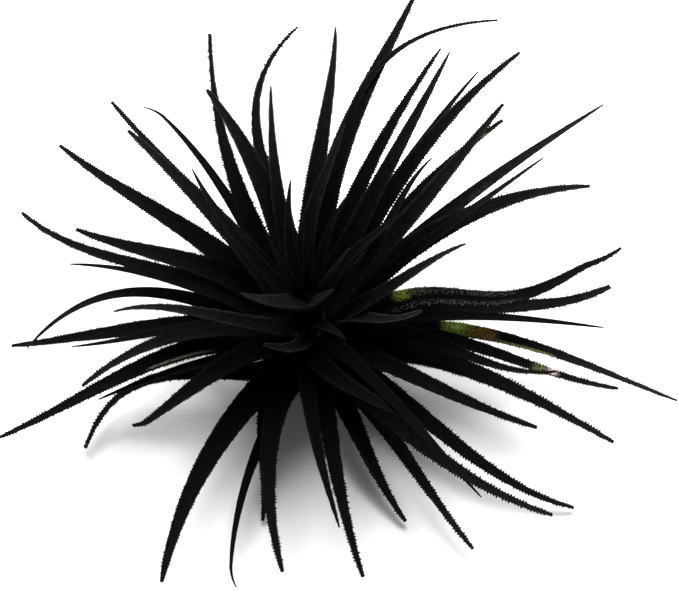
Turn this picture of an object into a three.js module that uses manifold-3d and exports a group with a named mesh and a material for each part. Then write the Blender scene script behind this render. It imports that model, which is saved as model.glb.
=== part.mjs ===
// A sky plant: narrow tapering leaves in whorls round a short stem. Millimetres, +Z up.
// The origin is the middle of the stem's cut base, which stands on the surface at z = 0.

import * as THREE from 'three';
import { mergeVertices } from 'three/addons/utils/BufferGeometryUtils.js';
import Module from 'manifold-3d';

const wasm = await Module();
wasm.setup();

// Stem: a stout foot that narrows to a neck, which the whorls' collars stand round
const FOOT_RADIUS = 4.2;
const FOOT_HEIGHT = 3.2;
const NECK_RADIUS = 2.3;
const NECK_HEIGHT = 4.8;
const STEM_TOP = 19.6;
const ROUND_SIDES = 20;
const WELD_DISTANCE = 1e-4;

// Trimmed roots round the foot: their tilts are in degrees, and a negative one points upward
const ROOT_COUNT = 9;
const ROOT_LENGTH = 3.4;
const ROOT_RADIUS = 0.6;
const ROOT_END_RADIUS = 0.48;
const ROOT_SIDES = 6;
const ROOT_SUNK = 1;
const ROOT_TILTS = [-23, 6];
const ROOT_HEIGHTS = [0.8, 2];
const ROOT_SCATTER = 0.5;
const ROOT_SEED = 11;

// Whorls, from the oldest at the bottom to the youngest: each leaves the stem higher and
// steeper. Slopes are in degrees above level.
const FIRST_HEIGHT = 6;
const WHORL_PITCH = 1.9;
const FIRST_SLOPE = 22;
const LAST_SLOPE = 64;
const HEART_HEIGHT = 20;
const HEART_SLOPE = 76;

// Collar: the ring of clasping leaf bases that joins a whorl, bored to stand round the neck
const BORE_RADIUS = 2.8;
const BORE_TOP = 46;
const COLLAR_OUTER = 5.2;
const COLLAR_THICKNESS = 1;

// Blade: a V-shaped channel, CHANNEL times its width deep, that tapers to the tip. It is
// thicker by RIB_EXTRA along its middle, and the rolled youngest leaves by ROLLED_EXTRA.
const BLADE_STEPS = 8;
const BLADE_ROOT = 2.3;
const TIP_WIDTH = 0.65;
const TAPER = 0.85;
const EDGE_THICKNESS = 0.62;
const RIB_EXTRA = 0.36;
const ROLLED_EXTRA = 1.5;
const CHANNEL = 0.2;

// Sheath: the broad base of a leaf, which wraps the stem and ends at this share of its length
const FIRST_SHEATH = 7.2;
const LAST_SHEATH = 4.6;
const SHEATH_END = 0.38;

// Leaves of each whorl. A row is the way the tip lies (degrees from +X), its reach from the
// axis, its height, how far the blade leans sideways at one third and two thirds of its
// length (to the left is positive), and its width at the base.
const WHORLS = [
  [
    [-6, 58, 2, 9, 3, 3.7],
    [-30.4, 47, 1, 1.5, -7, 4.3],
    [-52, 40, 3.5, 2, -1, 3.9],
    [-61, 30, 1.5, 1, -2, 4.6],
    [-106, 27, 1, -9, -1, 3.4],
    [-108, 39, 2, -2, -4.5, 2.7],
    [-158, 38, 2, 6.5, -15, 3.6],
    [25, 30, 1, 0, 0, 4],
    [64, 31, 1, 0, 0, 4],
    [98, 30, 1, 0, 0, 4],
    [129, 31, 1, 0, 0, 4],
    [164, 30, 1, 0, 0, 4],
  ],
  [
    [11.5, 48, 11, 5, -6.5, 4.4],
    [-9, 48, 9.5, 7, -2, 3.6],
    [-19.5, 49, 9, 3.5, 2, 5],
    [-37.9, 46, 9, -4.5, -7, 4.5],
    [-96, 38, 10.5, -6, -5, 4.8],
    [-120, 44, 7, -3, -5, 5.4],
    [-164, 34, 9.5, 0, -1, 2.8],
    [-163, 50, 7, -6.5, 0, 4.8],
    [153.7, 52, 11, -4, 7, 4],
    [122, 51, 12, 0, -3, 3],
  ],
  [
    [15.3, 50, 17, 2, -10.5, 4.6],
    [39, 60, 20, 0, 0, 3.8],
    [92.6, 53, 20, 1, 16, 3.4],
    [130, 50, 20, 0, 1, 3],
    [143, 50, 20, -2, 2, 5.2],
    [-173, 43, 19, -3, -15, 3.4],
    [-177, 46, 14, -1.5, 1, 4.8],
    [-79, 41, 15, 0, -2, 4.2],
    [-14, 38, 19, 7, -5, 3.8],
  ],
  [
    [109, 50, 26, 6.4, 5, 5.2],
    [56.7, 48, 26, 0, 1, 3],
    [46, 43, 26, 0, 2, 4],
    [64.4, 47, 29, 2.7, 1.8, 4],
    [170, 37, 24, 1, -2, 2.6],
    [163.1, 37, 27, -4.5, 1, 6],
    [-159.5, 36, 21, -2, -5, 4],
    [-143, 32, 20, -1.5, 0, 5.4],
    [-32, 39, 24, -2, -3, 4.2],
    [-83, 36, 23, -3, -2, 3.6],
    [-5, 44, 23, 0, 0, 2.8],
  ],
  [
    [84.7, 41, 37, 3, -1, 4.8],
    [47.6, 47, 39, 1, 3, 4.2],
    [18.7, 44, 34, 1, 5, 5.6],
    [25, 38, 39, -2, -1, 2.6],
    [138.4, 37, 33, 1, 0, 5],
    [-163, 36, 30, -1, 2, 2.6],
    [-55, 42, 31, -1, -1, 2.8],
    [-55, 28, 30, -8, -3, 4.6],
  ],
  [
    [119, 32, 39, -1, -2, 5.6],
    [102, 28, 41, 3, 2, 3.8],
    [69, 44, 45, 5.3, 1, 5],
    [51, 44, 48, 6, 21, 2.2],
    [56, 37, 45, -1, -1, 4.2],
    [38, 36, 44, -4, -2, 4.4],
    [8, 23, 36, -5, 0, 3.6],
    [-163, 29, 37, 7, -2, 3.6],
    [-14, 17, 29, 1, -4, 3.4],
    [-128, 11, 27, 2, 6, 4.8],
  ],
  [
    [144, 21, 42, 3, 3, 3.2],
    [103, 12, 40, 2, 2, 3.4],
    [75, 20, 43, 5, 1, 4],
    [36, 22, 44, -7, 1, 2.8],
    [60, 11, 39, 1, 2, 2.8],
    [21, 15, 42, 3, 1, 3.6],
    [-66, 13, 35, -2, 0, 3.4],
  ],
];

// Youngest leaves, rolled and curling over at the tip, round the growing point
const HEART_CENTRE = [-0.2, 0.1];
const HEART_CORE_RADIUS = 2.4;
const HEART_CORE_END = 0.6;
const HEART_CORE_HEIGHT = 6;
const HEART_ROOT = 0.4;
const HEART = [
  [-158, 10.5, 34, 4, 4, 4.6],
  [-45, 5.5, 35, -3, -2, 4.8],
  [-10, 6, 42, 1, 0, 2.4],
  [100, 3, 43, 0, 0, 2.2],
  [165, 6, 42, 0, 1, 2.2],
];

// Pseudo-random draws from 0 to 1 that are the same each time
function makeDraws(seed) {
  let state = seed;
  return () => {
    state = (state * 16807) % 2147483647;
    return state / 2147483647;
  };
}

const tangentOf = (degrees) => Math.tan(THREE.MathUtils.degToRad(degrees));

function solidOf(geometry) {
  const bare = geometry.toNonIndexed();
  bare.deleteAttribute('normal');
  bare.deleteAttribute('uv');
  const merged = mergeVertices(bare, WELD_DISTANCE);
  const mesh = new wasm.Mesh({
    numProp: 3,
    vertProperties: merged.attributes.position.array,
    triVerts: new Uint32Array(merged.index.array),
  });
  return new wasm.Manifold(mesh);
}

function geometryOf(solid) {
  const mesh = solid.getMesh();
  const geometry = new THREE.BufferGeometry();
  geometry.setAttribute('position', new THREE.BufferAttribute(mesh.vertProperties, 3));
  geometry.setIndex(new THREE.BufferAttribute(mesh.triVerts, 1));
  geometry.computeVertexNormals();
  return geometry;
}

// Joined in one body: a hollow that the join seals is filled, and a loose scrap is dropped
function fuse(solids) {
  const bodies = solids.reduce((whole, piece) => whole.add(piece)).decompose();
  return bodies.reduce((largest, body) => (body.volume() > largest.volume() ? body : largest));
}

// A body skinned over rings of points and closed by a flat face at each end
function loftOf(rings) {
  const count = rings[0].length;
  const points = rings.flat();
  const faces = [];
  for (let k = 0; k + 1 < rings.length; k += 1) {
    for (let i = 0; i < count; i += 1) {
      const a = k * count + i;
      const b = k * count + ((i + 1) % count);
      faces.push(a, a + count, b + count, a, b + count, b);
    }
  }
  const last = (rings.length - 1) * count;
  for (let i = 1; i + 1 < count; i += 1) {
    faces.push(0, i, i + 1, last, last + i + 1, last + i);
  }
  const geometry = new THREE.BufferGeometry();
  const positions = points.flatMap((point) => point.toArray());
  geometry.setAttribute('position', new THREE.Float32BufferAttribute(positions, 3));
  geometry.setIndex(faces);
  return geometry;
}

// A round body from its outline, given as radius and height
function latheSolid(profile) {
  const outline = profile.map(([radius, z]) => new THREE.Vector2(radius, z));
  const geometry = new THREE.LatheGeometry(outline, ROUND_SIDES);
  geometry.rotateX(Math.PI / 2);
  return solidOf(geometry);
}

// The middle line of a leaf: it leaves the axis at the whorl's slope and arches to its tip
function middleLine(row, seat) {
  const [heading, reach, tipHeight, leanLow, leanHigh] = row;
  const turn = THREE.MathUtils.degToRad(heading);
  const along = new THREE.Vector3(Math.cos(turn), Math.sin(turn), 0);
  const left = new THREE.Vector3(-along.y, along.x, 0);
  const shoulder = seat.height + (tangentOf(seat.slope) * reach) / 3;
  const at = (distance, lean, z) =>
    new THREE.Vector3(...seat.centre, z).addScaledVector(along, distance).addScaledVector(left, lean);
  return new THREE.CubicBezierCurve3(
    at(0, 0, seat.height),
    at(reach / 3, leanLow, shoulder),
    at((reach * 2) / 3, leanHigh, (shoulder + tipHeight) / 2),
    at(reach, 0, tipHeight),
  );
}

// One cross-section: two flanks that meet in a rib, with their outer edges lifted
function bladeSection(curve, s, baseWidth, seat) {
  const middle = curve.getPoint(s);
  const ahead = curve.getTangent(s);
  const across = new THREE.Vector3(0, 0, 1).cross(ahead).normalize();
  const above = ahead.clone().cross(across);
  const taper = (1 - s) ** TAPER;
  const blade = TIP_WIDTH + (baseWidth - TIP_WIDTH) * taper;
  const width = blade + Math.max(0, seat.sheath - blade) * Math.max(0, 1 - s / SHEATH_END) ** 2;
  const fromAxis = Math.hypot(middle.x - seat.centre[0], middle.y - seat.centre[1]);
  const clasp = (Math.hypot(fromAxis, width / 2) - fromAxis) * ahead.z;
  const channel = CHANNEL * (width - TIP_WIDTH) * Math.min(1, s / SHEATH_END);
  const lift = Math.max(clasp, channel);
  const edge = EDGE_THICKNESS / 2;
  const rib = edge + (seat.extra / 2) * taper;
  const corners = [
    [-width / 2, lift + edge],
    [0, rib],
    [width / 2, lift + edge],
    [width / 2, lift - edge],
    [0, -rib],
    [-width / 2, lift - edge],
  ];
  return corners.map(([x, y]) => middle.clone().addScaledVector(across, x).addScaledVector(above, y));
}

function leafSolid(row, seat) {
  const [, reach, , , , baseWidth] = row;
  const curve = middleLine(row, seat);
  const start = seat.root / reach;
  const rings = [];
  for (let k = 0; k <= BLADE_STEPS; k += 1) {
    rings.push(bladeSection(curve, start + ((1 - start) * k) / BLADE_STEPS, baseWidth, seat));
  }
  return solidOf(loftOf(rings));
}

function stemSolid() {
  const draw = makeDraws(ROOT_SEED);
  const between = ([low, high]) => THREE.MathUtils.lerp(low, high, draw());
  const profile = [
    [0, 0],
    [FOOT_RADIUS, 0],
    [FOOT_RADIUS, FOOT_HEIGHT],
    [NECK_RADIUS, NECK_HEIGHT],
    [NECK_RADIUS, STEM_TOP],
    [0, STEM_TOP],
  ];
  const roots = [];
  for (let k = 0; k < ROOT_COUNT; k += 1) {
    const root = new THREE.CylinderGeometry(ROOT_END_RADIUS, ROOT_RADIUS, ROOT_LENGTH, ROOT_SIDES);
    root.rotateZ(-Math.PI / 2);
    root.translate(FOOT_RADIUS + ROOT_LENGTH / 2 - ROOT_SUNK, 0, 0);
    root.rotateY(THREE.MathUtils.degToRad(between(ROOT_TILTS)));
    root.rotateZ((2 * Math.PI * (k + ROOT_SCATTER * draw())) / ROOT_COUNT);
    root.translate(0, 0, between(ROOT_HEIGHTS));
    roots.push(solidOf(root));
  }
  return fuse([latheSolid(profile), ...roots]);
}

// The collar follows the slope at which the whorl's leaves leave the stem
function collarSolid(seat) {
  const rise = tangentOf(seat.slope);
  const half = (COLLAR_THICKNESS / 2) * Math.hypot(1, rise);
  const inner = seat.height + seat.root * rise;
  const outer = seat.height + COLLAR_OUTER * rise;
  return latheSolid([
    [seat.root, inner - half],
    [COLLAR_OUTER, outer - half],
    [COLLAR_OUTER, outer + half],
    [seat.root, inner + half],
    [seat.root, inner - half],
  ]);
}

function whorlSolid(rows, index) {
  const youth = index / (WHORLS.length - 1);
  const seat = {
    height: FIRST_HEIGHT + WHORL_PITCH * index,
    slope: THREE.MathUtils.lerp(FIRST_SLOPE, LAST_SLOPE, youth),
    root: BLADE_ROOT,
    sheath: THREE.MathUtils.lerp(FIRST_SHEATH, LAST_SHEATH, youth),
    extra: RIB_EXTRA,
    centre: [0, 0],
  };
  const bore = latheSolid([
    [0, 0],
    [BORE_RADIUS, 0],
    [BORE_RADIUS, BORE_TOP],
    [0, BORE_TOP],
  ]);
  const whole = fuse([collarSolid(seat), ...rows.map((row) => leafSolid(row, seat))]);
  return fuse([whole.subtract(bore)]);
}

function heartSolid() {
  const seat = {
    height: HEART_HEIGHT,
    slope: HEART_SLOPE,
    root: HEART_ROOT,
    sheath: 0,
    extra: ROLLED_EXTRA,
    centre: HEART_CENTRE,
  };
  const core = latheSolid([
    [0, 0],
    [HEART_CORE_RADIUS, 0],
    [HEART_CORE_RADIUS, HEART_CORE_HEIGHT / 2],
    [HEART_CORE_END, HEART_CORE_HEIGHT],
    [0, HEART_CORE_HEIGHT],
  ]);
  const seated = core.translate([...HEART_CENTRE, HEART_HEIGHT]);
  return fuse([seated, ...HEART.map((row) => leafSolid(row, seat))]);
}

const bark = new THREE.MeshStandardMaterial({ color: 0x2e2620, roughness: 0.9, metalness: 0 });
const leafBlack = new THREE.MeshStandardMaterial({ color: 0x141516, roughness: 0.75, metalness: 0 });

const plant = new THREE.Group();

function addPiece(name, solid, material) {
  const mesh = new THREE.Mesh(geometryOf(solid), material);
  mesh.name = name;
  plant.add(mesh);
}

addPiece('stem', stemSolid(), bark);
WHORLS.forEach((rows, index) => addPiece(`whorl_${index + 1}`, whorlSolid(rows, index), leafBlack));
addPiece('heart', heartSolid(), leafBlack);

export default plant;
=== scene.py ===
import math
import random

import bmesh
import bpy
from mathutils import Matrix, Vector


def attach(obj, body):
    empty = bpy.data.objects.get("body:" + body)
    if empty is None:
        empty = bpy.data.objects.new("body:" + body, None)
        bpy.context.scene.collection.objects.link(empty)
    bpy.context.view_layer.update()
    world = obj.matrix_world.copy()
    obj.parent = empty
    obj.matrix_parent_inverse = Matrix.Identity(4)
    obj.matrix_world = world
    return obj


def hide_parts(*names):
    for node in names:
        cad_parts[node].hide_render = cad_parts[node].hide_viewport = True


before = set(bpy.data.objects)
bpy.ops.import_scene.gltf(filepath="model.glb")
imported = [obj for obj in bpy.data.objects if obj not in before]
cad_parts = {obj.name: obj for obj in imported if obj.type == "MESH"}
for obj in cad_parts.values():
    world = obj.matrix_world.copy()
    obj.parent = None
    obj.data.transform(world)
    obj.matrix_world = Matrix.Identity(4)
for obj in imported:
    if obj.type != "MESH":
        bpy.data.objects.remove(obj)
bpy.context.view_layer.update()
mm = 0.001
print("frame loaded with", len(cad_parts), "nodes")


# The camera stands on the plant's -Y side and looks steeply down on it
cameraView = {
    "elevation": 62,            # degrees above level
    "distance": 320,            # from the camera to the aim point
    "aim": (4.4, 5.8, 15.1),
    "lens": 109.5,
    "sensor": 36,
}


def placeCamera():
    elevation = math.radians(cameraView["elevation"])
    lensData = bpy.data.cameras.new("photoCamera")
    lensData.lens = cameraView["lens"]
    lensData.sensor_width = cameraView["sensor"]
    lensData.clip_start = 0.01
    stand = bpy.data.objects.new("photoCamera", lensData)
    backward = Vector((0, -math.cos(elevation), math.sin(elevation)))
    stand.location = (Vector(cameraView["aim"]) + backward * cameraView["distance"]) * mm
    stand.rotation_euler = (math.pi / 2 - elevation, 0, 0)
    bpy.context.scene.collection.objects.link(stand)
    bpy.context.scene.camera = stand


placeCamera()
print("camera placed")


# Weak white light from all round, with one broad lamp above and behind
studioLight = {
    "roomStrength": 0.16,
    "lampPlace": (0, 270, 500),
    "lampSize": 480,
    "lampPower": 9,
    "floorColour": (0.92, 0.92, 0.915, 1),
    "floorHalfWidth": 1500,
    "floorRoughness": 0.9,
    "floorSpecular": 0.1,
    "grainScale": 900,
    "grainStrength": 0.15,
    "grainHeight": 0.0001,
}


def lightStudio():
    scene = bpy.context.scene
    scene.view_settings.view_transform = "Standard"
    room = bpy.data.worlds.new("paleRoom")
    room.use_nodes = True
    glow = room.node_tree.nodes["Background"]
    glow.inputs["Color"].default_value = (1, 1, 1, 1)
    glow.inputs["Strength"].default_value = studioLight["roomStrength"]
    scene.world = room

    lampData = bpy.data.lights.new("softLamp", "AREA")
    lampData.shape = "DISK"
    lampData.size = studioLight["lampSize"] * mm
    lampData.energy = studioLight["lampPower"]
    lamp = bpy.data.objects.new("softLamp", lampData)
    lamp.location = Vector(studioLight["lampPlace"]) * mm
    lamp.rotation_euler = (-lamp.location).to_track_quat("-Z", "Y").to_euler()
    scene.collection.objects.link(lamp)


def layFloor():
    paper = bpy.data.materials.new("palePaper")
    paper.use_nodes = True
    tree = paper.node_tree
    shader = tree.nodes["Principled BSDF"]
    shader.inputs["Base Color"].default_value = studioLight["floorColour"]
    shader.inputs["Roughness"].default_value = studioLight["floorRoughness"]
    shader.inputs["Specular IOR Level"].default_value = studioLight["floorSpecular"]
    place = tree.nodes.new("ShaderNodeTexCoord")
    grain = tree.nodes.new("ShaderNodeTexNoise")
    grain.inputs["Scale"].default_value = studioLight["grainScale"]
    bump = tree.nodes.new("ShaderNodeBump")
    bump.inputs["Strength"].default_value = studioLight["grainStrength"]
    bump.inputs["Distance"].default_value = studioLight["grainHeight"]
    tree.links.new(place.outputs["Object"], grain.inputs["Vector"])
    tree.links.new(grain.outputs["Fac"], bump.inputs["Height"])
    tree.links.new(bump.outputs["Normal"], shader.inputs["Normal"])

    sheet = bmesh.new()
    bmesh.ops.create_grid(sheet, x_segments=1, y_segments=1, size=studioLight["floorHalfWidth"] * mm)
    mesh = bpy.data.meshes.new("studioFloor")
    sheet.to_mesh(mesh)
    sheet.free()
    mesh.materials.append(paper)
    floor = bpy.data.objects.new("studioFloor", mesh)
    bpy.context.scene.collection.objects.link(floor)


lightStudio()
layFloor()
print("studio lit")


# Node helpers. The first makes a node and sets its values. The others also link what they are
# given, and hand back the node's output.
def addNode(tree, kind, **values):
    node = tree.nodes.new(kind)
    for name, value in values.items():
        if name in node.inputs:
            node.inputs[name].default_value = value
        else:
            setattr(node, name, value)
    return node


def mapRange(tree, source, fromRange, toRange, smooth=False):
    node = tree.nodes.new("ShaderNodeMapRange")
    node.interpolation_type = "SMOOTHSTEP" if smooth else "LINEAR"
    node.inputs["From Min"].default_value, node.inputs["From Max"].default_value = fromRange
    node.inputs["To Min"].default_value, node.inputs["To Max"].default_value = toRange
    tree.links.new(source, node.inputs["Value"])
    return node.outputs["Result"]


def doMath(tree, operation, *values):
    node = tree.nodes.new("ShaderNodeMath")
    node.operation = operation
    for socket, value in zip(node.inputs, values):
        if isinstance(value, (int, float)):
            socket.default_value = value
        else:
            tree.links.new(value, socket)
    return node.outputs["Value"]


# Of a Mix node's many sockets, inputs 6 and 7 and output 2 are the ones for colours
def mixColours(tree, share, first, second):
    node = tree.nodes.new("ShaderNodeMix")
    node.data_type = "RGBA"
    tree.links.new(share, node.inputs[0])
    for socket, value in ((node.inputs[6], first), (node.inputs[7], second)):
        if isinstance(value, tuple):
            socket.default_value = value
        else:
            tree.links.new(value, socket)
    return node.outputs[2]


def scaleColour(tree, colour, factor):
    node = tree.nodes.new("ShaderNodeVectorMath")
    node.operation = "SCALE"
    tree.links.new(colour, node.inputs[0])
    tree.links.new(factor, node.inputs["Scale"])
    return node.outputs["Vector"]


# Leaf skin: a black dye over green flesh, with pale scales where the dye didn't take
leafSkin = {
    "noiseRange": (0.3, 0.7),   # the part of a noise that is stretched over a range below
    "mottleScale": 9,           # blotches in the dye, per centimetre
    "mottleRange": (0.6, 1.4),
    "flakeScale": 26,           # how finely the dye flakes at the edge of a bare place
    "flakeRange": (0.33, 0.66),
    "flakeGain": (0, 1.7),
    "wornRange": (0.15, 0.9),
    "fleshRange": (0.35, 1.9),
    "scaleScale": 55,           # leaf scales per centimetre
    "scaleEdge": (0.16, 0.34),
    "scaleColour": (0.45, 0.45, 0.41, 1),
    "scaleRelief": 0.00005,
    "scaleBump": 0.7,
    "fibreStretch": (60, 2.5, 1),
    "fibreRelief": 0.00004,
    "fibreBump": 0.5,
    "specular": 0.008,
    "roughness": (0.68, 0.9),
}


def makeLeafMaterial():
    material = bpy.data.materials.new("dyedLeaf")
    material.use_nodes = True
    tree = material.node_tree
    links = tree.links
    shader = tree.nodes["Principled BSDF"]
    shader.inputs["Specular IOR Level"].default_value = leafSkin["specular"]

    place = addNode(tree, "ShaderNodeUVMap", uv_map="leafMap").outputs["UV"]
    # The dye colour also carries painted light: a painted sheen on the margins, and paler leaves where they
    # lie in shade
    dyeAndPaintedLight = addNode(tree, "ShaderNodeAttribute", attribute_name="dyeAndPaintedLight").outputs["Color"]
    flesh = addNode(tree, "ShaderNodeAttribute", attribute_name="flesh").outputs["Color"]
    worn = addNode(tree, "ShaderNodeAttribute", attribute_name="worn").outputs["Fac"]
    silver = addNode(tree, "ShaderNodeAttribute", attribute_name="silver").outputs["Fac"]

    mottle = addNode(tree, "ShaderNodeTexNoise", Scale=leafSkin["mottleScale"], Detail=4)
    flakes = addNode(tree, "ShaderNodeTexNoise", Scale=leafSkin["flakeScale"], Detail=5, Roughness=0.65)
    scales = addNode(tree, "ShaderNodeTexVoronoi", Scale=leafSkin["scaleScale"])
    stretch = addNode(tree, "ShaderNodeMapping", Scale=leafSkin["fibreStretch"])
    fibres = addNode(tree, "ShaderNodeTexNoise", Scale=1, Detail=3)
    links.new(stretch.outputs["Vector"], fibres.inputs["Vector"])
    for node in (mottle, flakes, scales, stretch):
        links.new(place, node.inputs["Vector"])

    noiseRange = leafSkin["noiseRange"]
    mottling = mapRange(tree, mottle.outputs["Fac"], noiseRange, leafSkin["mottleRange"])
    dyed = scaleColour(tree, dyeAndPaintedLight, mottling)
    patching = mapRange(tree, flakes.outputs["Fac"], noiseRange, leafSkin["fleshRange"])
    fleshed = scaleColour(tree, flesh, patching)
    flakeLoss = mapRange(tree, flakes.outputs["Fac"], leafSkin["flakeRange"], leafSkin["flakeGain"])
    flaking = doMath(tree, "MULTIPLY", worn, flakeLoss)
    wornShare = mapRange(tree, flaking, leafSkin["wornRange"], (0, 1), smooth=True)
    skin = mixColours(tree, wornShare, dyed, fleshed)
    dots = mapRange(tree, scales.outputs["Distance"], leafSkin["scaleEdge"], (1, 0), smooth=True)
    speckled = mixColours(tree, doMath(tree, "MULTIPLY", dots, silver), skin, leafSkin["scaleColour"])
    links.new(speckled, shader.inputs["Base Color"])
    rough = mapRange(tree, flakes.outputs["Fac"], noiseRange, leafSkin["roughness"])
    links.new(rough, shader.inputs["Roughness"])

    fibreBump = addNode(
        tree, "ShaderNodeBump", Strength=leafSkin["fibreBump"], Distance=leafSkin["fibreRelief"],
    )
    scaleBump = addNode(
        tree, "ShaderNodeBump", Strength=leafSkin["scaleBump"], Distance=leafSkin["scaleRelief"],
    )
    links.new(fibres.outputs["Fac"], fibreBump.inputs["Height"])
    links.new(dots, scaleBump.inputs["Height"])
    links.new(fibreBump.outputs["Normal"], scaleBump.inputs["Normal"])
    links.new(scaleBump.outputs["Normal"], shader.inputs["Normal"])
    return material


# Bark of the stem: dry and fibrous, and dark where the dye covers it
barkSkin = {
    "lightBark": (0.3, 0.21, 0.13, 1),
    "darkBark": (0.05, 0.035, 0.025, 1),
    "fibreScale": (2600, 2600, 260),
    "blotchScale": 450,
    "blend": (0.16, 0.36),
    "relief": 0.0003,
    "bump": 0.7,
    "dyedFrom": (0.003, 0.007),   # the dye covers the stem above its foot
    "dyedTone": 0.05,
    "specular": 0.2,
    "roughness": 0.88,
}


def makeBarkMaterial():
    material = bpy.data.materials.new("dryStem")
    material.use_nodes = True
    tree = material.node_tree
    links = tree.links
    shader = tree.nodes["Principled BSDF"]
    shader.inputs["Specular IOR Level"].default_value = barkSkin["specular"]
    shader.inputs["Roughness"].default_value = barkSkin["roughness"]
    place = addNode(tree, "ShaderNodeTexCoord")
    stretch = addNode(tree, "ShaderNodeMapping", Scale=barkSkin["fibreScale"])
    fibres = addNode(tree, "ShaderNodeTexNoise", Scale=1, Detail=5, Roughness=0.65)
    blotches = addNode(tree, "ShaderNodeTexNoise", Scale=barkSkin["blotchScale"], Detail=3)
    links.new(place.outputs["Object"], stretch.inputs["Vector"])
    links.new(place.outputs["Object"], blotches.inputs["Vector"])
    links.new(stretch.outputs["Vector"], fibres.inputs["Vector"])
    both = doMath(tree, "MULTIPLY", fibres.outputs["Fac"], blotches.outputs["Fac"])
    share = mapRange(tree, both, barkSkin["blend"], (0, 1), smooth=True)
    bark = mixColours(tree, share, barkSkin["darkBark"], barkSkin["lightBark"])
    parts = addNode(tree, "ShaderNodeSeparateXYZ")
    links.new(place.outputs["Object"], parts.inputs["Vector"])
    dyedTones = (1, barkSkin["dyedTone"])
    dyed = mapRange(tree, parts.outputs["Z"], barkSkin["dyedFrom"], dyedTones, smooth=True)
    links.new(scaleColour(tree, bark, dyed), shader.inputs["Base Color"])
    bump = addNode(tree, "ShaderNodeBump", Strength=barkSkin["bump"], Distance=barkSkin["relief"])
    links.new(fibres.outputs["Fac"], bump.inputs["Height"])
    links.new(bump.outputs["Normal"], shader.inputs["Normal"])
    return material


leafMaterial = makeLeafMaterial()
barkMaterial = makeBarkMaterial()
print("materials made")


# Where each whorl leaves the stem, from the oldest leaves at the bottom to the youngest
whorlSeats = {
    "firstHeight": 6,
    "pitch": 1.9,
    "slopes": (22, 64),         # degrees above level, of the first whorl and the last
    "sheaths": (7.2, 4.6),      # width of a clasping leaf base
    "root": 2.3,                # how far from the axis the blades start
    "sheathEnd": 0.38,          # share of the leaf's length
}

# Leaves of each whorl: the way the tip lies in degrees from +X, its reach from the axis, its
# height, how far the blade leans to its left at one third and at two thirds of its length,
# and its width near the base
whorlLeaves = {
    "whorl_1": [
        (-6, 58, 2, 9, 3, 3.7),
        (-30.4, 47, 1, 1.5, -7, 4.3),
        (-52, 40, 3.5, 2, -1, 3.9),
        (-61, 30, 1.5, 1, -2, 4.6),
        (-106, 27, 1, -9, -1, 3.4),
        (-108, 39, 2, -2, -4.5, 2.7),
        (-158, 38, 2, 6.5, -15, 3.6),
        (25, 30, 1, 0, 0, 4),
        (64, 31, 1, 0, 0, 4),
        (98, 30, 1, 0, 0, 4),
        (129, 31, 1, 0, 0, 4),
        (164, 30, 1, 0, 0, 4),
    ],
    "whorl_2": [
        (11.5, 48, 11, 5, -6.5, 4.4),
        (-9, 48, 9.5, 7, -2, 3.6),
        (-19.5, 49, 9, 3.5, 2, 5),
        (-37.9, 46, 9, -4.5, -7, 4.5),
        (-96, 38, 10.5, -6, -5, 4.8),
        (-120, 44, 7, -3, -5, 5.4),
        (-164, 34, 9.5, 0, -1, 2.8),
        (-163, 50, 7, -6.5, 0, 4.8),
        (153.7, 52, 11, -4, 7, 4),
        (122, 51, 12, 0, -3, 3),
    ],
    "whorl_3": [
        (15.3, 50, 17, 2, -10.5, 4.6),
        (39, 60, 20, 0, 0, 3.8),
        (92.6, 53, 20, 1, 16, 3.4),
        (130, 50, 20, 0, 1, 3),
        (143, 50, 20, -2, 2, 5.2),
        (-173, 43, 19, -3, -15, 3.4),
        (-177, 46, 14, -1.5, 1, 4.8),
        (-79, 41, 15, 0, -2, 4.2),
        (-14, 38, 19, 7, -5, 3.8),
    ],
    "whorl_4": [
        (109, 50, 26, 6.4, 5, 5.2),
        (56.7, 48, 26, 0, 1, 3),
        (46, 43, 26, 0, 2, 4),
        (64.4, 47, 29, 2.7, 1.8, 4),
        (170, 37, 24, 1, -2, 2.6),
        (163.1, 37, 27, -4.5, 1, 6),
        (-159.5, 36, 21, -2, -5, 4),
        (-143, 32, 20, -1.5, 0, 5.4),
        (-32, 39, 24, -2, -3, 4.2),
        (-83, 36, 23, -3, -2, 3.6),
        (-5, 44, 23, 0, 0, 2.8),
    ],
    "whorl_5": [
        (84.7, 41, 37, 3, -1, 4.8),
        (47.6, 47, 39, 1, 3, 4.2),
        (18.7, 44, 34, 1, 5, 5.6),
        (25, 38, 39, -2, -1, 2.6),
        (138.4, 37, 33, 1, 0, 5),
        (-163, 36, 30, -1, 2, 2.6),
        (-55, 42, 31, -1, -1, 2.8),
        (-55, 28, 30, -8, -3, 4.6),
    ],
    "whorl_6": [
        (119, 32, 39, -1, -2, 5.6),
        (102, 28, 41, 3, 2, 3.8),
        (69, 44, 45, 5.3, 1, 5),
        (51, 44, 48, 6, 21, 2.2),
        (56, 37, 45, -1, -1, 4.2),
        (38, 36, 44, -4, -2, 4.4),
        (8, 23, 36, -5, 0, 3.6),
        (-163, 29, 37, 7, -2, 3.6),
        (-14, 17, 29, 1, -4, 3.4),
        (-128, 11, 27, 2, 6, 4.8),
    ],
    "whorl_7": [
        (144, 21, 42, 3, 3, 3.2),
        (103, 12, 40, 2, 2, 3.4),
        (75, 20, 43, 5, 1, 4),
        (36, 22, 44, -7, 1, 2.8),
        (60, 11, 39, 1, 2, 2.8),
        (21, 15, 42, 3, 1, 3.6),
        (-66, 13, 35, -2, 0, 3.4),
    ],
}

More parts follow.
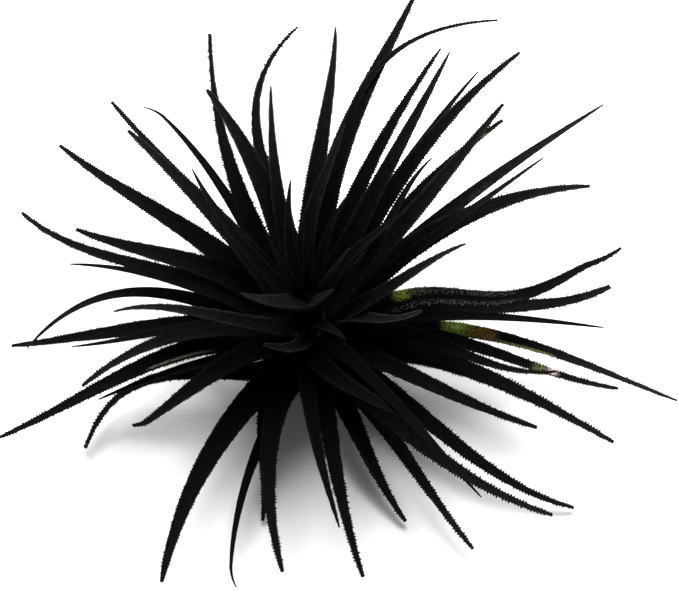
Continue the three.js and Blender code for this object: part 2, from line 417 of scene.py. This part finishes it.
# The youngest leaves, which curl over at the tip round the growing point
heartLeaves = {
    "height": 20,
    "slope": 76,
    "root": 0.4,
    "centre": (-0.2, 0.1),
    "budProfile": [(0, 0), (2.4, 0), (2.4, 2.6), (1.9, 4), (1.1, 5.2), (0.45, 6), (0, 6)],
    "budSides": 40,
    "budTwist": 0.35,           # radians a millimetre
    "budFolds": 3,              # spiral folds round the bud, and how deep they cut
    "budFold": 0.3,
    "rows": [
        (-158, 10.5, 34, 4, 4, 4.6),
        (-45, 5.5, 35, -3, -2, 4.8),
        (-10, 6, 42, 1, 0, 2.4),
        (100, 3, 43, 0, 0, 2.2),
        (165, 6, 42, 0, 1, 2.2),
    ],
}

# One leaf blade, in millimetres where it is a length
leafShape = {
    "ringPitch": 0.52,          # distance between rings of points, and so between teeth
    "ringPoints": 16,
    "tipWidth": 0.42,
    "smoothTip": 0.2,           # share of that width on a leaf with no bristles
    "taper": 0.85,              # below 1 the blade stays broad for longer
    "edgeThickness": 0.2,
    "edgeTaper": (0.1, 0.2),    # thickness of the margin at the tip, and what it gains from there
    "tipThickness": 0.16,
    "fullness": 0.8,            # below 1 the blade keeps its thickness nearer to the margins
    "channel": 0.22,            # depth of the channel as a share of the width
    "cupping": 1.6,             # above 1 the channel is flat along its middle
    "hookLength": 0.08,         # the share of the leaf that a hooked tip takes up
    "waveCrest": 0.32,          # where a waved leaf first swings out, and the length of its wave
    "waveLength": 0.56,
    "waveEase": (4, 8),         # how fast the wave comes in at the base and goes at the tip
    "toothHeight": 0.26,        # scales that stand out from the margins
    "toothHeights": (0.45, 0.8, 1, 1.2, 1.35),     # shares of it, one drawn for each
    "toothLean": 0.35,          # how far they lean towards the tip, at most
    "toothEase": (6, 12),
    "tipTeeth": 0.35,           # share of it left at the very tip
    "toothRoom": 0.26,          # how much narrower a bristly blade is, to leave room for them
    "roomEase": (6, 6),
    "broadLeaf": 3.6,           # leaves narrower than this bristle less
    "scaleHeight": 0.05,        # scales that lie on the two faces
    "scaleEase": 6,
    "fuzz": 0.012,              # how much those scales pale the faces
    "baseFuzz": 0.15,
    "dyeDepth": 0.86,           # for the whole plant
    "shades": (0.85, 1.2),      # one shade and one tint is drawn for each leaf
    "tints": ((1, 1.04, 1), (0.95, 1.02, 1.06), (1, 1.02, 0.94), (0.96, 1.05, 0.97), (0.98, 1.02, 1.02)),
    # The paler margins are a painted sheen, where light catches the edges
    "sheenStart": 0.6,            # how far out from the middle the paler margin starts
    "redStart": 0.4,            # where along the leaf a red tip starts
    "redGains": (0.8, 0.25, 0.1),
    "bareFades": (0.03, 0.5),   # how softly a bare place ends, along the leaf and across it
    "silverFades": (0.05, 0.2),
}

# How much the margins bristle, how thick the blade is along its middle, the tone of the dye (higher is
# paler, and the inner whorls are paler partly as younger leaves and partly as painted light), how much paler
# it gets towards the tip, and how much paler the margins are painted, as a painted sheen
whorlLooks = {
    "whorl_1": {"bristle": 1, "thickness": 0.95, "dyeAndPaintedLight": 0.0010, "tipFade": 5.6, "paintedSheen": 1.6},
    "whorl_2": {"bristle": 1, "thickness": 0.95, "dyeAndPaintedLight": 0.0010, "tipFade": 5.2, "paintedSheen": 1.6},
    "whorl_3": {"bristle": 0.95, "thickness": 0.95, "dyeAndPaintedLight": 0.0010, "tipFade": 4.8, "paintedSheen": 1.7},
    "whorl_4": {"bristle": 0.95, "thickness": 0.95, "dyeAndPaintedLight": 0.0011, "tipFade": 4.2, "paintedSheen": 2},
    "whorl_5": {"bristle": 0.95, "thickness": 0.95, "dyeAndPaintedLight": 0.0015, "tipFade": 4.4, "paintedSheen": 2.5},
    "whorl_6": {"bristle": 0.75, "thickness": 0.95, "dyeAndPaintedLight": 0.0019, "tipFade": 3.5, "paintedSheen": 3},
    "whorl_7": {"bristle": 0.15, "thickness": 0.95, "dyeAndPaintedLight": 0.0024, "tipFade": 2, "paintedSheen": 2.8},
    "heart": {"bristle": 0.15, "thickness": 2.1, "dyeAndPaintedLight": 0.003, "tipFade": 2, "paintedSheen": 2.2},
}

# Leaves that differ from the rest of their whorl, by row number. Bristle and dye take the place
# of the whorl's, tipWidth and taper that of the leaf shape's. A leaf's own dye is partly painted light:
# a leaf lying in shade under others is painted paler. A hook is how far the tip turns
# aside (to the left is positive), a wave how far the blade swings from side to side, and redTip
# how much red shows through towards the tip.
leafTraits = {
    "whorl_1": {
        0: {"tipWidth": 0.25, "dyeAndPaintedLight": 0.0022}, 1: {"bristle": 1.2}, 2: {"dyeAndPaintedLight": 0.0017}, 3: {"dyeAndPaintedLight": 0.0018},
        4: {"redTip": 0.7}, 5: {"bristle": 0.3, "hook": 0.9}, 6: {"bristle": 1.1, "dyeAndPaintedLight": 0.0016},
    },
    "whorl_2": {
        0: {"bristle": 1.2, "redTip": 0.5, "tipWidth": 0.6, "taper": 0.7, "dyeAndPaintedLight": 0.0016},
        1: {"redTip": 1}, 2: {"bristle": 1.3, "dyeAndPaintedLight": 0.0015}, 3: {"bristle": 1.3, "dyeAndPaintedLight": 0.0014},
        # Row 6 lies in shade under the whorl above, and its paler dye is painted light
        4: {"bristle": 1.1}, 5: {"bristle": 0.8, "taper": 0.72}, 6: {"bristle": 0.3, "dyeAndPaintedLight": 0.002},
        7: {"bristle": 1.1}, 8: {"bristle": 1.2}, 9: {"bristle": 0.3, "hook": 1.1},
    },
    "whorl_3": {
        0: {"wave": 0.9, "tipWidth": 0.35}, 1: {"bristle": 0.3, "dyeAndPaintedLight": 0.002},
        2: {"bristle": 1.3, "tipWidth": 0.25}, 3: {"redTip": 0.7}, 5: {"bristle": 0.25, "dyeAndPaintedLight": 0.0016},
        7: {"bristle": 1.1, "dyeAndPaintedLight": 0.0009}, 8: {"redTip": 0.7, "tipWidth": 0.2, "dyeAndPaintedLight": 0.0008},
    },
    "whorl_4": {
        0: {"bristle": 1.3, "tipWidth": 0.5, "taper": 1.4}, 1: {"tipWidth": 0.16, "bristle": 0.25},
        3: {"tipWidth": 0.2}, 4: {"bristle": 0.3}, 5: {"bristle": 1.1}, 6: {"redTip": 0.8},
        7: {"hook": -0.9}, 8: {"dyeAndPaintedLight": 0.0008}, 9: {"dyeAndPaintedLight": 0.0005, "tipWidth": 0.16, "bristle": 0.6},
        10: {"bristle": 0.25},
    },
    "whorl_5": {
        0: {"redTip": 0.5, "tipWidth": 0.16}, 2: {"bristle": 1},
        3: {"redTip": 1, "tipWidth": 0.16, "bristle": 0.4}, 5: {"bristle": 0.2, "dyeAndPaintedLight": 0.001},
        6: {"bristle": 0.2, "dyeAndPaintedLight": 0.0008}, 7: {"tipWidth": 0.2, "dyeAndPaintedLight": 0.0006},
    },
    "whorl_6": {
        0: {"tipWidth": 0.45}, 1: {"redTip": 1, "tipWidth": 0.16},
        4: {"redTip": 0.6, "tipWidth": 0.16, "bristle": 0.5}, 6: {"redTip": 1.2, "tipWidth": 0.2},
        7: {"redTip": 0.8, "tipWidth": 0.16}, 9: {"dyeAndPaintedLight": 0.0014},
    },
    "whorl_7": {
        1: {"redTip": 1, "dyeAndPaintedLight": 0.004}, 2: {"dyeAndPaintedLight": 0.0035}, 3: {"redTip": 1}, 4: {"dyeAndPaintedLight": 0.0032},
        6: {"dyeAndPaintedLight": 0.0012},
    },
}

# What shows where the dye didn't take
fleshColours = {
    "lime": (0.085, 0.13, 0.014),
    "paleLime": (0.3, 0.38, 0.14),
    "rust": (0.1, 0.058, 0.016),
    "olive": (0.1, 0.1, 0.042),
    "pink": (0.5, 0.4, 0.38),
    "moss": (0.007, 0.010, 0.005),
    "chalk": (0.07, 0.075, 0.05),
}

# Bare places: a leaf's row number, then where each starts and ends along the leaf, from which
# margin to which it spreads (-1 right, 1 left), how bare it is, and its colour
barePlaces = {
    "whorl_1": {
        0: [(0.36, 0.41, -1, 1, 1, "lime"), (0.38, 0.39, 0.3, 0.6, 1, "paleLime"),
            (0.42, 0.48, -1, 0.7, 0.9, "rust"), (0.5, 0.64, -1, -0.7, 0.9, "olive")],
    },
    "whorl_2": {
        1: [(0.73, 0.75, -1, 1, 0.6, "olive"), (0.775, 0.785, -0.6, 1, 0.7, "pink")],
        5: [(0.16, 0.22, -1, 1, 0.5, "moss")],
        7: [(0.22, 0.30, -1, 0.6, 0.6, "moss"), (0.28, 0.50, 0.6, 0.75, 0.9, "chalk"),
            (0.2, 0.4, -1, -0.9, 0.9, "chalk")],
    },
    "whorl_3": {
        0: [(0.285, 0.30, 0.3, 1, 1, "lime"), (0.31, 0.4, -0.4, 1, 0.3, "moss"),
            (0.31, 0.35, 0.4, 1, 0.4, "olive")],
        1: [(0.52, 0.58, -1, 0, 0.22, "olive")],
    },
    "whorl_4": {
        2: [(0.89, 0.91, -1, 0, 0.5, "olive")],
    },
}

# Silver scales: where they start and end along the leaf and across it, and how thick they lie
silverPlaces = {
    "whorl_2": {0: [(0.28, 0.55, 0.5, 1, 0.5)]},
    "whorl_3": {0: [(0.28, 0.6, -1, -0.5, 0.5), (0.28, 0.6, 0.5, 1, 0.5)]},
    "whorl_6": {9: [(0.25, 0.85, -1, 1, 0.15)]},
}


# A leaf's middle line is one cubic curve, given by its four control points
def middleLine(row, seat):
    heading, reach, tipHeight, leanLow, leanHigh = row[:5]
    turn = math.radians(heading)
    along = Vector((math.cos(turn), math.sin(turn), 0))
    left = Vector((-along.y, along.x, 0))
    shoulder = seat["height"] + math.tan(math.radians(seat["slope"])) * reach / 3
    centre = Vector((*seat["centre"], 0))
    places = (
        (0, 0, seat["height"]),
        (reach / 3, leanLow, shoulder),
        (reach * 2 / 3, leanHigh, (shoulder + tipHeight) / 2),
        (reach, 0, tipHeight),
    )
    return [centre + along * out + left * lean + Vector((0, 0, up)) for out, lean, up in places]


def pointOn(line, s):
    t = 1 - s
    return line[0] * t ** 3 + line[1] * 3 * s * t ** 2 + line[2] * 3 * s ** 2 * t + line[3] * s ** 3


def aheadOn(line, s):
    t = 1 - s
    first, second, third = (b - a for a, b in zip(line, line[1:]))
    return (first * t ** 2 + second * 2 * s * t + third * s ** 2).normalized()


def ease(s, atBase, atTip):
    return min(1, s * atBase, (1 - s) * atTip)


# For each ring of points: the middle line's place, the ways across and above it, how far along
# the leaf it lies (0 to 1), the blade's width, the lift of its margins, and half its thickness
# at the margins and along the middle
def ringFrames(row, seat, looks, count):
    line = middleLine(row, seat)
    start = seat["root"] / row[1]
    frames = []
    for k in range(count + 1):
        s = min(1, start + (1 - start) * k / count)
        middle = pointOn(line, s)
        ahead = aheadOn(line, s)
        across = Vector((0, 0, 1)).cross(ahead).normalized()
        above = ahead.cross(across)
        phase = (s - leafShape["waveCrest"]) / leafShape["waveLength"] * 2 * math.pi
        wave = looks.get("wave", 0) * math.cos(phase) * ease(s, *leafShape["waveEase"])
        hook = looks.get("hook", 0) * max(0, 1 - (1 - s) / leafShape["hookLength"]) ** 2
        middle = middle + across * (hook + wave)
        taper = (1 - s) ** looks.get("taper", leafShape["taper"])
        plainTip = leafShape["tipWidth"] * min(1, leafShape["smoothTip"] + looks["bristle"])
        tipWidth = looks.get("tipWidth", plainTip)
        width = tipWidth + (row[5] - tipWidth) * taper
        width -= leafShape["toothRoom"] * looks["bristle"] * ease(s, *leafShape["roomEase"])
        width += max(0, seat["sheath"] - width) * max(0, 1 - s / whorlSeats["sheathEnd"]) ** 2
        fromAxis = math.hypot(middle.x - seat["centre"][0], middle.y - seat["centre"][1])
        clasp = (math.hypot(fromAxis, width / 2) - fromAxis) * ahead.z
        channel = leafShape["channel"] * width * min(1, s / whorlSeats["sheathEnd"])
        edgeAtTip, edgeGain = leafShape["edgeTaper"]
        edge = min(leafShape["edgeThickness"], edgeAtTip + edgeGain * taper) / 2
        tipThickness = leafShape["tipThickness"]
        mid = (tipThickness + (looks["thickness"] - tipThickness) * taper) / 2
        frames.append((middle, across, above, s, width, max(clasp, channel), edge, mid))
    return frames


def lineLength(row, seat):
    line = middleLine(row, seat)
    steps = [pointOn(line, k / 20) for k in range(21)]
    return sum((b - a).length for a, b in zip(steps, steps[1:]))


def fadeIn(value, low, high, soft):
    rise = min(1, max(0, (value - low + soft) / soft))
    fall = min(1, max(0, (high - value + soft) / soft))
    return rise * fall


def addSkinLayers(shape):
    shape.verts.layers.float_color.new("dyeAndPaintedLight")
    shape.verts.layers.float_color.new("flesh")
    shape.verts.layers.float.new("worn")
    shape.verts.layers.float.new("silver")
    shape.loops.layers.uv.new("leafMap")


# A closed tube of rings, drawn into a channelled blade along the middle line. Its two narrow
# sides are the margins. The table handed back says for each point how far along the leaf it lies
# (0 to 1) and how far across it (-1 to 1).
def wrapBlade(leaf, row, seat, looks, length):
    count = round(length / leafShape["ringPitch"])
    halfStep = math.pi / leafShape["ringPoints"]
    bmesh.ops.create_cone(
        leaf, cap_ends=True, cap_tris=False, segments=leafShape["ringPoints"],
        radius1=1, radius2=1, depth=1, matrix=Matrix.Rotation(halfStep, 4, "Z"),
    )
    sides = [edge for edge in leaf.edges if abs(edge.verts[0].co.z - edge.verts[1].co.z) > 0.5]
    bmesh.ops.subdivide_edges(leaf, edges=sides, cuts=count - 1)
    edgeX = math.cos(halfStep)
    quads = [face for face in leaf.faces if len(face.verts) == 4]
    margins = [face for face in quads if abs(face.calc_center_median().x) > edgeX * 0.99]
    faces = [face for face in quads if abs(face.calc_center_median().x) <= edgeX * 0.99]

    frames = ringFrames(row, seat, looks, count)
    place = {}
    for vert in leaf.verts:
        ring = round((vert.co.z + 0.5) * count)
        middle, across, above, s, width, lift, edge, mid = frames[ring]
        c = max(-1, min(1, vert.co.x / edgeX))
        half = edge + (mid - edge) * (1 - c * c) ** leafShape["fullness"]
        rise = lift * abs(c) ** leafShape["cupping"] + (half if vert.co.y > 0 else -half)
        place[vert] = (s, c)
        vert.co = middle + across * (c * width / 2) + above * rise
    ahead = (frames[-1][0] - frames[0][0]).normalized()
    return margins, faces, place, ahead


def raiseScales(leaf, looks, draws, margins, faces, place, ahead):
    teeth = bmesh.ops.poke(leaf, faces=margins, offset=0)["verts"]
    scales = bmesh.ops.poke(leaf, faces=faces, offset=0)["verts"]
    leaf.normal_update()
    for vert in teeth + scales:
        around = [edge.other_vert(vert) for edge in vert.link_edges]
        near = [place[other] for other in around if other in place]
        place[vert] = (sum(s for s, c in near) / len(near), sum(c for s, c in near) / len(near))
    for vert in teeth:
        s = place[vert][0]
        atBase, atTip = leafShape["toothEase"]
        height = leafShape["toothHeight"] * looks["bristle"] * draws.choice(leafShape["toothHeights"])
        lean = ahead * draws.uniform(0, leafShape["toothLean"])
        height *= min(1, s * atBase, (1 - s) * atTip + leafShape["tipTeeth"])
        vert.co += (vert.normal + lean) * height
    for vert in scales:
        height = leafShape["scaleHeight"] * draws.uniform(0.1, 1)
        vert.co += vert.normal * height * min(1, (1 - place[vert][0]) * leafShape["scaleEase"])


def dyeLeafAndPaintLight(leaf, looks, bare, silver, place, shade, tint):
    dyeAndLightLayer = leaf.verts.layers.float_color["dyeAndPaintedLight"]
    fleshLayer = leaf.verts.layers.float_color["flesh"]
    wornLayer = leaf.verts.layers.float["worn"]
    silverLayer = leaf.verts.layers.float["silver"]
    sheenStart = leafShape["sheenStart"]
    redStart = leafShape["redStart"]
    bareAlong, bareAcross = leafShape["bareFades"]
    silverAlong, silverAcross = leafShape["silverFades"]
    trace = 0.0001      # keeps the flesh colour defined where nothing is bare
    for vert, (s, c) in place.items():
        amount = looks["dyeAndPaintedLight"] * leafShape["dyeDepth"] * shade * (1 + looks["tipFade"] * s * s)
        # Margins painted paler: a painted sheen along the edges
        amount *= 1 + (looks["paintedSheen"] - 1) * max(0, (abs(c) - sheenStart) / (1 - sheenStart)) ** 2
        red = looks.get("redTip", 0) * max(0, (s - redStart) / (1 - redStart))
        tones = [amount * part * (1 + gain * red) for part, gain in zip(tint, leafShape["redGains"])]
        vert[dyeAndLightLayer] = (*tones, 1)
        worn = 0
        flesh = Vector(fleshColours["olive"]) * trace
        weight = trace
        for low, high, right, left, strength, colour in bare:
            softAcross = min(bareAcross, left - right)
            here = strength * fadeIn(s, low, high, bareAlong) * fadeIn(c, right, left, softAcross)
            worn = max(worn, here)
            flesh += Vector(fleshColours[colour]) * here ** 2
            weight += here ** 2
        vert[wornLayer] = worn
        vert[fleshLayer] = (*(flesh / weight), 1)
        fuzz = leafShape["fuzz"] * looks["bristle"] * (leafShape["baseFuzz"] + s * s)
        vert[silverLayer] = max([fuzz] + [
            strength * fadeIn(s, low, high, silverAlong) * fadeIn(c, right, left, silverAcross)
            for low, high, right, left, strength in silver
        ])


def growLeaf(row, seat, looks, bare, silver, number):
    draws = random.Random(number * 31 + 7)
    shade = draws.uniform(*leafShape["shades"])
    tint = draws.choice(leafShape["tints"])
    leaf = bmesh.new()
    addSkinLayers(leaf)
    length = lineLength(row, seat)
    margins, faces, place, ahead = wrapBlade(leaf, row, seat, looks, length)
    raiseScales(leaf, looks, draws, margins, faces, place, ahead)
    dyeLeafAndPaintLight(leaf, looks, bare, silver, place, shade, tint)
    mapLayer = leaf.loops.layers.uv["leafMap"]
    for face in leaf.faces:
        face.smooth = True
        for loop in face.loops:
            s, c = place[loop.vert]
            loop[mapLayer].uv = (c * row[5] / 20 + number, s * length / 10)
    bmesh.ops.scale(leaf, vec=(mm, mm, mm), verts=leaf.verts)
    return leaf


def finishPiece(shape, name, node, material):
    mesh = bpy.data.meshes.new(name)
    shape.to_mesh(mesh)
    shape.free()
    mesh.materials.append(material)
    piece = bpy.data.objects.new(name, mesh)
    bpy.context.scene.collection.objects.link(piece)
    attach(piece, "root")
    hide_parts(node)
    print(name, "made with", len(mesh.polygons), "faces")


def startPiece():
    shape = bmesh.new()
    addSkinLayers(shape)
    return shape


def joinShape(shape, part):
    carrier = bpy.data.meshes.new("carrier")
    part.to_mesh(carrier)
    part.free()
    shape.from_mesh(carrier)
    bpy.data.meshes.remove(carrier)


def growLeaves(shape, node, rows, seat, first):
    for index, row in enumerate(rows):
        bare = barePlaces.get(node, {}).get(index, [])
        silver = silverPlaces.get(node, {}).get(index, [])
        looks = {**whorlLooks[node], **leafTraits.get(node, {}).get(index, {})}
        looks["bristle"] *= min(1, row[5] / leafShape["broadLeaf"])
        joinShape(shape, growLeaf(row, seat, looks, bare, silver, first + index))


def growWhorls():
    first = 0
    for index, (node, rows) in enumerate(whorlLeaves.items()):
        youth = index / (len(whorlLeaves) - 1)
        low, high = whorlSeats["slopes"]
        broad, narrow = whorlSeats["sheaths"]
        seat = {
            "height": whorlSeats["firstHeight"] + whorlSeats["pitch"] * index,
            "slope": low + (high - low) * youth,
            "sheath": broad + (narrow - broad) * youth,
            "root": whorlSeats["root"],
            "centre": (0, 0),
        }
        shape = startPiece()
        growLeaves(shape, node, rows, seat, first)
        finishPiece(shape, "leaves_" + node, node, leafMaterial)
        first += len(rows)
    return first


# The bud of rolled leaves that closes the growing point: a pointed dome with spiral folds
def growBud(shape):
    bud = bmesh.new()
    addSkinLayers(bud)
    points = [bud.verts.new((radius, 0, height)) for radius, height in heartLeaves["budProfile"]]
    for pair in zip(points, points[1:]):
        bud.edges.new(pair)
    bmesh.ops.subdivide_edges(bud, edges=bud.edges[:], cuts=3)
    bmesh.ops.spin(
        bud, geom=bud.verts[:] + bud.edges[:], cent=(0, 0, 0), axis=(0, 0, 1),
        angle=2 * math.pi, steps=heartLeaves["budSides"], use_merge=True,
    )
    bmesh.ops.remove_doubles(bud, verts=bud.verts, dist=0.001)
    bmesh.ops.recalc_face_normals(bud, faces=bud.faces)
    centre = heartLeaves["centre"]
    amount = whorlLooks["heart"]["dyeAndPaintedLight"]
    for vert in bud.verts:
        turn = math.atan2(vert.co.y, vert.co.x) + vert.co.z * heartLeaves["budTwist"]
        fold = abs(math.sin(turn * heartLeaves["budFolds"] / 2))
        push = 1 - heartLeaves["budFold"] * (1 - fold) ** 2
        vert.co.x = vert.co.x * push + centre[0]
        vert.co.y = vert.co.y * push + centre[1]
        vert.co.z += heartLeaves["height"]
        vert[bud.verts.layers.float_color["dyeAndPaintedLight"]] = (amount, amount, amount, 1)
        vert[bud.verts.layers.float_color["flesh"]] = (*fleshColours["moss"], 1)
    mapLayer = bud.loops.layers.uv["leafMap"]
    for face in bud.faces:
        face.smooth = True
        for loop in face.loops:
            loop[mapLayer].uv = (math.atan2(loop.vert.co.y, loop.vert.co.x) * 0.2, loop.vert.co.z / 10)
    bmesh.ops.scale(bud, vec=(mm, mm, mm), verts=bud.verts)
    joinShape(shape, bud)


def growHeart(first):
    seat = {
        "height": heartLeaves["height"],
        "slope": heartLeaves["slope"],
        "sheath": 0,
        "root": heartLeaves["root"],
        "centre": heartLeaves["centre"],
    }
    shape = startPiece()
    growBud(shape)
    growLeaves(shape, "heart", heartLeaves["rows"], seat, first)
    finishPiece(shape, "leaves_heart", "heart", leafMaterial)


growHeart(growWhorls())


# The stem: a cut foot that narrows to a neck, with trimmed roots round it
stemShape = {
    "profile": [(0, 0.35), (2.2, 0.3), (3.9, 0), (4.2, 0.5), (4.0, 1.7), (4.15, 2.4), (3.6, 3.2), (2.6, 4.4),
                (2.3, 5.6), (2.3, 19.6), (0, 19.6)],
    "slopingEdges": (5, 9),     # the edges of the profile that are divided more finely
    "sides": 48,
    "roughHeights": (0.3, 19),
    "roughness": 0.048,
    "ridges": 7,
    "ridgeDepth": 0.04,
    "seed": 3,
    "rootCount": 9,
    "rootLength": 3.4,
    "rootRadii": (0.6, 0.48),
    "rootFoot": 4.2,            # radius of the foot that the roots leave
    "rootSunk": 1,
    "rootTilts": (-23, 6),      # degrees below level
    "rootHeights": (0.8, 2),
    "rootScatter": 0.5,
    "rootSeed": 11,
}


# The same draws as the solids use, so that the root stubs lie where theirs do
def rootDraws(state):
    while True:
        state = state * 16807 % 2147483647
        yield state / 2147483647


def drawBetween(draw, low, high):
    return low + (high - low) * next(draw)


def addRoots(shape):
    draw = rootDraws(stemShape["rootSeed"])
    wide, narrow = stemShape["rootRadii"]
    length = stemShape["rootLength"]
    outward = stemShape["rootFoot"] + length / 2 - stemShape["rootSunk"]
    for index in range(stemShape["rootCount"]):
        tilt = math.radians(drawBetween(draw, *stemShape["rootTilts"]))
        heading = 2 * math.pi * (index + stemShape["rootScatter"] * next(draw)) / stemShape["rootCount"]
        height = drawBetween(draw, *stemShape["rootHeights"])
        stand = (
            Matrix.Translation((0, 0, height)) @ Matrix.Rotation(heading, 4, "Z")
            @ Matrix.Rotation(tilt, 4, "Y") @ Matrix.Translation((outward, 0, 0))
            @ Matrix.Rotation(math.pi / 2, 4, "Y")
        )
        root = bmesh.ops.create_cone(
            shape, cap_ends=True, segments=10, radius1=wide, radius2=narrow, depth=length, matrix=stand,
        )["verts"]
        around = {edge for vert in root for edge in vert.link_edges}
        longEdges = [edge for edge in around if edge.calc_length() > length * 0.8]
        bmesh.ops.subdivide_edges(shape, edges=longEdges, cuts=6)


def makeStem():
    shape = bmesh.new()
    points = [shape.verts.new((radius, 0, height)) for radius, height in stemShape["profile"]]
    outline = [shape.edges.new(pair) for pair in zip(points, points[1:])]
    sloping = outline[slice(*stemShape["slopingEdges"])]
    bmesh.ops.subdivide_edges(shape, edges=sloping, cuts=3)
    bmesh.ops.spin(
        shape, geom=shape.verts[:] + shape.edges[:], cent=(0, 0, 0), axis=(0, 0, 1),
        angle=2 * math.pi, steps=stemShape["sides"], use_merge=True,
    )
    bmesh.ops.remove_doubles(shape, verts=shape.verts, dist=0.001)
    bmesh.ops.recalc_face_normals(shape, faces=shape.faces)
    draws = random.Random(stemShape["seed"])
    low, high = stemShape["roughHeights"]
    for vert in shape.verts:
        if math.hypot(vert.co.x, vert.co.y) > 1 and low < vert.co.z < high:
            heading = math.atan2(vert.co.y, vert.co.x)
            ridge = math.sin(stemShape["ridges"] * heading) * stemShape["ridgeDepth"]
            push = 1 - abs(draws.gauss(0, stemShape["roughness"])) + ridge
            vert.co.x *= push
            vert.co.y *= push
    addRoots(shape)
    for face in shape.faces:
        face.smooth = True
    bmesh.ops.scale(shape, vec=(mm, mm, mm), verts=shape.verts)
    finishPiece(shape, "cut_stem", "stem", barkMaterial)


makeStem()
